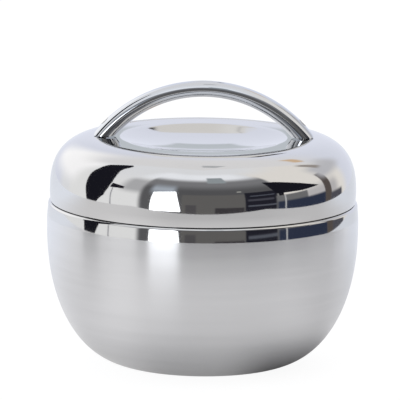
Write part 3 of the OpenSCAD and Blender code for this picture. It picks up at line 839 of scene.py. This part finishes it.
def cut(piece, cutters, operation="DIFFERENCE"):
    """Cuts a piece with others, or joins them to it, for good."""
    for cutter in cutters:
        modifier = piece.modifiers.new("cut", "BOOLEAN")
        modifier.operation, modifier.object, modifier.solver = operation, cutter, "EXACT"
    depsgraph = bpy.context.evaluated_depsgraph_get()
    mesh = bpy.data.meshes.new_from_object(piece.evaluated_get(depsgraph), depsgraph=depsgraph)
    piece.modifiers.clear()
    old, piece.data = piece.data, mesh
    bpy.data.meshes.remove(old)
    for cutter in cutters:
        bpy.data.objects.remove(cutter)
    # The slivers that a cut leaves go
    edit = bmesh.new()
    edit.from_mesh(mesh)
    bmesh.ops.remove_doubles(edit, verts=edit.verts, dist=SLIVER)
    bmesh.ops.dissolve_degenerate(edit, edges=edit.edges, dist=SLIVER)
    edit.to_mesh(mesh)
    edit.free()
    mesh.shade_smooth()
    mesh.set_sharp_from_angle(angle=math.radians(SHARP_EDGE))


def screw_hole(side):
    """Cutting tools for a screw's recess, bore and tip hole, through the handle and its peg."""
    where = on_arch(side, SCREW_ANGLE)
    inner = INNER_R - FOOT_EXTRA / 2
    return [drill(where, RECESS_HOLE_R, OUTER_R - RECESS_DEPTH, OUTER_R + PAST),
            drill(where, SCREW_R + FIT, inner - PAST, OUTER_R),
            drill(where, TIP_HOLE_R, inner - PAST, INNER_R + TIP_HOLE_DEPTH)]


def placed(where, name, points, steps=SMALL_STEPS):
    """A small turned steel piece, moved by a matrix."""
    piece = turned(name, points, SMALL_STEEL, steps=steps)
    piece.data.transform(where)
    return piece


def nut(side, name):
    """A hexagon nut with bevelled corners and a bevelled bore."""
    high = WASHER_TOP_Z - WASHER_T
    low, corner_r, flat_r = high - NUT_H, NUT_W / math.sqrt(3), NUT_W / 2 - 0.1
    bore_r, mouth_r = STUD_R + FIT, STUD_R + FIT + NUT_BEVEL + PAST
    below, above = low + NUT_BEVEL, high - NUT_BEVEL
    where = at_stud(side)
    piece = placed(where, name, [(0, low), (corner_r, low), (corner_r, high), (0, high)], 6)
    barrel = [(0, low), (flat_r, low), (corner_r, below), (corner_r, above), (flat_r, high),
              (0, high)]
    bore = [(0, low - PAST), (mouth_r, low - PAST), (bore_r, below), (bore_r, above),
            (mouth_r, high + PAST), (0, high + PAST)]
    cut(piece, [placed(where, "barrel", barrel)], "INTERSECT")
    cut(piece, [placed(where, "bore", bore)])
    return piece


handle = made_by(ARCHED, "carrying_handle", section_points(),
                 {"Steps": ARCH_STEPS, "Foot Height": FOOT_Z * MM, "Reach": FOOT_REACH * MM,
                  "Material": HANDLE_STEEL})
cut(handle, [tool for side in (-1, 1) for tool in screw_hole(side) + [
    drill(along_foot(side), PEG_R + FIT, -2 * PEG_R, PEG_H + FIT)]])
settle(handle, "handle", "lid")
cut(lid, [drill(at_stud(side), STUD_HOLE_R, LID_TOP_Z - 4, LID_TOP_Z + PAST)
          for side in (-1, 1)])


# The hidden pieces: foam, filling plug and what holds the handle

settle(turned("bowl_foam", bowl_foam_points(), FOAM), "bowl_insulation", "bowl")
settle(turned("base_filling_plug", plug_points(), PLUG_GREY, steps=PLUG_STEPS),
       "fill_plug", "bowl")
lid_foam = turned("lid_foam", lid_foam_points(), FOAM)
cut(lid_foam, [drill(at_stud(side), WASHER_R + FOAM_GAP, STUD_END_Z - FOAM_GAP,
                     LID_TOP_Z + PAST) for side in (-1, 1)])
settle(lid_foam, "lid_insulation", "lid")

for side, word in ((-1, "left"), (1, "right")):
    lug = placed(along_foot(side), word + "_foot_lug", peg_points(), LUG_STEPS)
    cut(lug, screw_hole(side) + [drill(at_stud(side), 4 * PEG_R, FOOT_Z - 8 * PEG_R, FOOT_Z)])
    cut(lug, [placed(at_stud(side), "stud", stud_points())], "UNION")
    screw = placed(on_arch(side, SCREW_ANGLE), word + "_foot_screw", screw_points())
    head_z = OUTER_R - RECESS_DEPTH + FIT + HEAD_H
    cut(screw, [drill(on_arch(side, SCREW_ANGLE), SOCKET_W / math.sqrt(3),
                      head_z - HEAD_H / 2, head_z + PAST, 6)])
    washer = placed(at_stud(side), word + "_foot_washer", washer_points())
    for piece, kind in ((lug, "handle_lug_"), (screw, "handle_screw_"), (washer, "lug_washer_"),
                        (nut(side, word + "_foot_nut"), "lug_nut_")):
        settle(piece, kind + word, "lid")


# The studio: pale table and backdrop, and a plain room that the polished steel shows

TABLE_FRONT, TABLE_BACK, TABLE_LEFT, TABLE_RIGHT = -0.72, 6.0, -0.95, 0.76
UMBRELLA_DISTANCE, WINDOW_DISTANCE = 3.0, 4.0
EYE_Z = 0.09  # height that the directions of the room's flat shapes are counted from
TABLE_EDGE = -6.5  # elevation of the table's front edge
BLACK = (0.012, 0.012, 0.018)
# Flat shapes in the room: name, corners (azimuth, elevation), colour, strength and distance
ROOM_PANELS = [
    ("left_umbrella",
     [(-96, TABLE_EDGE), (-86.5, TABLE_EDGE), (-79, 2), (-76.5, 12), (-76.5, 24), (-80, 34),
      (-86, 43), (-96, 51), (-105, 58), (-113, 60.5), (-121, 60), (-119, 48), (-109, 38),
      (-101, 18)], BLACK, 1.0, UMBRELLA_DISTANCE),
    ("left_stand_head", [(-75.5, 23), (-63.5, 21), (-63.5, 17), (-75.5, 15)],
     BLACK, 1.0, UMBRELLA_DISTANCE),
    ("left_stand_pole", [(-73.2, 15), (-72, 15), (-72, TABLE_EDGE), (-73.2, TABLE_EDGE)],
     (0.45, 0.45, 0.47), 1.0, UMBRELLA_DISTANCE),
    ("right_umbrella",
     [(52, 39), (63, 36), (76, 28), (88, 19), (98.5, 11.5), (80, 11), (57, 13), (54, 24)],
     BLACK, 1.0, UMBRELLA_DISTANCE),
    ("right_stand_head", [(58, 20), (64.5, 20), (63, 9), (59, 9)],
     BLACK, 1.0, UMBRELLA_DISTANCE),
    ("right_stand_pole", [(63.3, 9), (64.6, 9), (64.6, TABLE_EDGE), (63.3, TABLE_EDGE)],
     (0.55, 0.55, 0.56), 1.0, UMBRELLA_DISTANCE),
    ("window_panel", [(-40, TABLE_EDGE), (-16.5, TABLE_EDGE), (-21, 23), (-38, 19)],
     (0.96, 0.98, 1.0), 2.9, WINDOW_DISTANCE),
]


def flat_sheet(name, corners, material):
    """A flat sheet of the studio, which is not part of the object."""
    mesh = bpy.data.meshes.new(name)
    mesh.from_pydata(corners, [], [tuple(range(len(corners)))])
    mesh.materials.append(material)
    sheet = linked(name, mesh)
    return sheet


def glow_and_paper(t, tone, color, strength):
    """Paper of a tone that also glows."""
    paper = t.add("ShaderNodeBsdfDiffuse", {"Color": (*tone, 1.0)})
    glow = t.add("ShaderNodeEmission", {"Color": color, "Strength": strength})
    return t.add("ShaderNodeAddShader", {0: paper.outputs[0], 1: glow.outputs[0]})


def by_viewer(t, room, camera_view):
    """One shader for what the steel mirrors, and another for what the camera sees."""
    path = t.add("ShaderNodeLightPath")
    return t.add("ShaderNodeMixShader", {0: path.outputs["Is Camera Ray"],
                                         1: room.outputs[0], 2: camera_view.outputs[0]})


def pale_floor():
    """A white table, plain white to the camera with a faint real shadow. What the steel mirrors is
    a painted glow: painted light on the left, right, behind and in front near the bowl, and
    painted shadow round the bowl's base, deepest on its right.
    """
    material = bpy.data.materials.new("pale_table")
    t = cleared(material)
    _, x, y, _, radius = object_place(t)
    safe = t.math("MAXIMUM", radius, 0.05)
    across, along = t.over(x, safe), t.over(y, safe)
    # Masks of painted light on the table: behind the bowl, brighter and bluer there, and in front
    # close to it
    behind = ramp(t, y, -0.05, 0.4)
    painted_front_light = t.times(ramp(t, radius, 0.03, 0.13), ramp(t, radius, 0.5, 0.2))
    # Masks of painted shadow round the bowl's base, deepest on its right
    painted_contact_shadow = ramp(t, radius, 0.10, 0.055)
    shade = t.times(painted_contact_shadow, ramp(t, across, 0.1, 0.95))
    # The glow that the steel mirrors and that lights the bowl: painted light on the left, right,
    # behind and in front, less the painted shadow by the base
    glow = 0.36
    for mask, amount in ((ramp(t, across, -0.25, -0.95), 0.18), (ramp(t, across, 0.60, 1.0), 0.06),
                         (behind, 0.26), (painted_contact_shadow, -0.08), (shade, -0.30),
                         (t.times(painted_front_light, ramp(t, along, 0.0, -0.8)), 0.18)):
        glow = t.plus(glow, t.times(mask, amount))
    room = glow_and_paper(t, (0.36, 0.36, 0.37),
                          two_tones(t, behind, (1.0, 0.985, 0.965), (0.92, 0.97, 1.06)), glow)
    camera_view = glow_and_paper(t, (0.14, 0.14, 0.145), (1.0, 1.0, 1.0, 1.0), 0.93)
    surface(t, by_viewer(t, room, camera_view))
    flat_sheet("table_top", [(TABLE_LEFT, TABLE_FRONT, 0), (TABLE_RIGHT, TABLE_FRONT, 0),
                             (TABLE_RIGHT, TABLE_BACK, 0), (TABLE_LEFT, TABLE_BACK, 0)], material)


def direction(azimuth, elevation):
    """Unit vector: azimuth 0 looks from the bowl to the camera's side, 90 to the right."""
    a, e = math.radians(azimuth), math.radians(elevation)
    return Vector((math.sin(a) * math.cos(e), -math.cos(a) * math.cos(e), math.sin(e)))


def room_panel(name, corners, color, strength, distance):
    """A flat shape in the room, by the directions of its corners as seen from the bowl."""
    material = bpy.data.materials.new(name)
    t = cleared(material)
    surface(t, t.add("ShaderNodeEmission", {"Color": (*color, 1.0), "Strength": strength}))
    middle = Vector((0, 0, EYE_Z))
    panel = flat_sheet(name, [middle + direction(a, e) * distance for a, e in corners], material)
    panel.visible_camera = False


pale_floor()
for panel in ROOM_PANELS:
    room_panel(*panel)


def make_room_patch():
    """A soft-edged rectangle of directions: azimuth and elevation in degrees."""
    tree, t, given, out = new_group(
        "room_patch", [("Azimuth", 0.0), ("Elevation", 0.0), ("Left", -10.0), ("Right", 10.0),
                       ("Low", 0.0), ("High", 10.0), ("Side Softness", 1.0),
                       ("Level Softness", 1.0)], ["Mask"])

    def between(value, low, high, soft):
        rise = ramp(t, value, t.minus(low, soft), t.plus(low, soft))
        fall = ramp(t, value, t.plus(high, soft), t.minus(high, soft))
        return t.times(rise, fall)

    side = between(given["Azimuth"], given["Left"], given["Right"], given["Side Softness"])
    level = between(given["Elevation"], given["Low"], given["High"], given["Level Softness"])
    t.set(out.inputs["Mask"], t.times(side, level))
    return tree


# Each patch of the room: name, left, right, low and high edge in degrees, softness
# sideways and up, and colour. Later patches lie over earlier ones.
BELOW = -90
ROOM_PATCHES = [
    ("left_wall", -120, -44, BELOW, 40, 5, 22, (1.02, 1.02, 1.01)),
    ("right_wall", 56, 150, BELOW, 66, 6, 12, (1.00, 0.96, 0.90)),
    ("right_wall_low", 84, 122, BELOW, 12, 5, 7, (0.62, 0.60, 0.60)),
    ("lit_ceiling", -62, 46, 50, 72, 12, 5, (1.10, 1.12, 1.16)),
    ("left_shade", -67, -46, 15, 44, 6, 6, (0.55, 0.55, 0.56)),
    ("dim_ceiling", -49, 60, BELOW, 53, 2.5, 7, (0.25, 0.25, 0.26)),
    ("dark_ceiling", -47, 58, BELOW, 33, 5, 9, (0.115, 0.115, 0.12)),
    ("back_wall", -16, 32, BELOW, 17.5, 1, 1.5, (0.155, 0.15, 0.145)),
    ("shelves", 32, 58, BELOW, 20, 0.6, 1.0, (0.02, 0.02, 0.03)),
    ("shelf_upper", 36, 56, 12.5, 14, 0.5, 0.5, (0.11, 0.12, 0.15)),
    ("shelf_middle", 34, 55, 5, 8, 1.0, 0.6, (0.08, 0.08, 0.10)),
    ("shelf_lower", 34, 57, -2, -0.5, 0.5, 0.5, (0.13, 0.14, 0.17)),
    ("desk", 9, 31, BELOW, -2.5, 0.6, 0.6, (0.06, 0.055, 0.06)),
    ("chair", -13, -5, BELOW, 1, 0.8, 0.8, (0.105, 0.10, 0.105)),
    ("far_lamp", 26.5, 30, 22, 24, 0.6, 0.6, (0.50, 0.50, 0.46)),
    ("curtain", -47, -40.5, BELOW, 30, 1.5, 6, (0.13, 0.13, 0.135)),
    ("window_halo", -41, -22, 19, 34, 3, 8, (0.50, 0.55, 0.62)),
    ("worktop", 57, 86, BELOW, 9.5, 1.0, 1.0, (0.20, 0.20, 0.205)),
    ("low_cupboard", 58, 106, BELOW, 1.0, 1.5, 1.5, (0.035, 0.045, 0.08)),
    ("door_frame", 105, 113, BELOW, 28, 0.7, 1.5, (0.12, 0.10, 0.09)),
    ("dark_corner", 112, 128, BELOW, -2, 1.5, 1.5, (0.10, 0.10, 0.12)),
    ("ceiling_lamp", 4, 22, 46, 62, 1, 1, (0.36, 0.40, 0.42)),
]
BACKDROP_PATCHES = [
    ("right_far_wall", 108, 146, 18, 40, 8, 6, (0.66, 0.66, 0.69)),
    ("lit_left_corner", 198, 244, 6, 46, 9, 9, (1.28, 1.27, 1.27)),
    ("far_ceiling", 128, 232, 40, 120, 8, 14, (0.93, 0.92, 0.92)),
    ("ceiling_grille", 160, 181, 70, 78, 1, 1, (0.56, 0.57, 0.58)),
    ("warm_light", 141, 157, 43, 48, 2, 1.5, (0.80, 0.58, 0.38)),
    ("brown_panel", 121, 129, 33, 48, 2, 3, (0.40, 0.36, 0.33)),
    ("backdrop_roll", 174.0, 184.1, 25.0, 33.5, 0.15, 0.4, (0.82, 0.80, 0.77)),
    ("roll_light", 182, 184, 25.2, 33.3, 1.2, 0.4, (0.88, 0.87, 0.85)),
    ("roll_end", 174.0, 175.45, 25.0, 33.5, 0.1, 0.4, (0.02, 0.02, 0.03)),
    ("roll_bracket", 183.5, 183.8, 25.0, 33.5, 0.1, 0.4, (0.68, 0.67, 0.66)),
    ("backdrop_shade", 178.7, 181.3, 2.5, 12.5, 0.2, 1.0, (0.58, 0.62, 0.66)),
]


def world_light():
    """Light walls and ceiling, a dim end of the room in front, and a white backdrop behind."""
    world = bpy.data.worlds.new("studio")
    bpy.context.scene.world = world
    t = cleared(world)
    patch = make_room_patch()
    look = t.add("ShaderNodeTexCoord").outputs["Generated"]
    x, y, z = parts(t, look)
    degree = 180 / math.pi
    azimuth = t.times(t.math("ARCTAN2", x, t.times(y, -1.0)), degree)
    elevation = t.times(t.math("ARCSINE", z), degree)
    # The same azimuth counted from 0 to 360, for what lies straight behind the bowl
    turned_azimuth = t.math("MODULO", t.plus(azimuth, 360.0), 360.0)

    def paint_all(below, patches, around):
        for _, left, right, low, high, side, level, tone in patches:
            node = group(t, patch, Azimuth=around, Elevation=elevation, Left=left, Right=right,
                         Low=low, High=high, Side_Softness=side, Level_Softness=level)
            below = two_tones(t, node["Mask"], below, tone)
        return below

    color = paint_all((0.96, 0.97, 0.99), ROOM_PATCHES, azimuth)
    behind = ramp(t, t.math("ABSOLUTE", azimuth), 128.0, 142.0)
    color = two_tones(t, behind, color, (0.87, 0.90, 1.01))
    color = paint_all(color, BACKDROP_PATCHES, turned_azimuth)

    room = t.add("ShaderNodeBackground", {"Color": color, "Strength": 1.0})
    white = t.add("ShaderNodeBackground", {"Color": (1.0, 1.0, 1.0, 1.0), "Strength": 1.0})
    surface(t, by_viewer(t, room, white), "ShaderNodeOutputWorld")


world_light()

scene = bpy.context.scene
scene.view_settings.view_transform = "Standard"

# The camera: the photograph's angle and slight tilt, from a distance that fits it
ELEVATION, DISTANCE, TILT = math.radians(10.47), 3.5, math.radians(0.65)
FOCAL_PIXELS, FRAME_PIXELS, SENSOR = 6601.8, 400, 36.0
target = Vector((-1.54 * MM, 0, 86.84 * MM))
forward = Vector((0, math.cos(ELEVATION), -math.sin(ELEVATION)))
level, rise = Vector((1, 0, 0)), Vector((0, math.sin(ELEVATION), math.cos(ELEVATION)))
right = level * math.cos(TILT) + rise * math.sin(TILT)
up = rise * math.cos(TILT) - level * math.sin(TILT)
camera_data = bpy.data.cameras.new("camera")
camera_data.sensor_width = SENSOR
camera_data.lens = FOCAL_PIXELS / FRAME_PIXELS * SENSOR
camera_data.clip_start, camera_data.clip_end = 0.05, 50.0
camera = bpy.data.objects.new("camera", camera_data)
scene.collection.objects.link(camera)
turn = Matrix((right, up, -forward)).transposed().to_4x4()
camera.matrix_world = Matrix.Translation(target - forward * DISTANCE) @ turn
scene.camera = camera
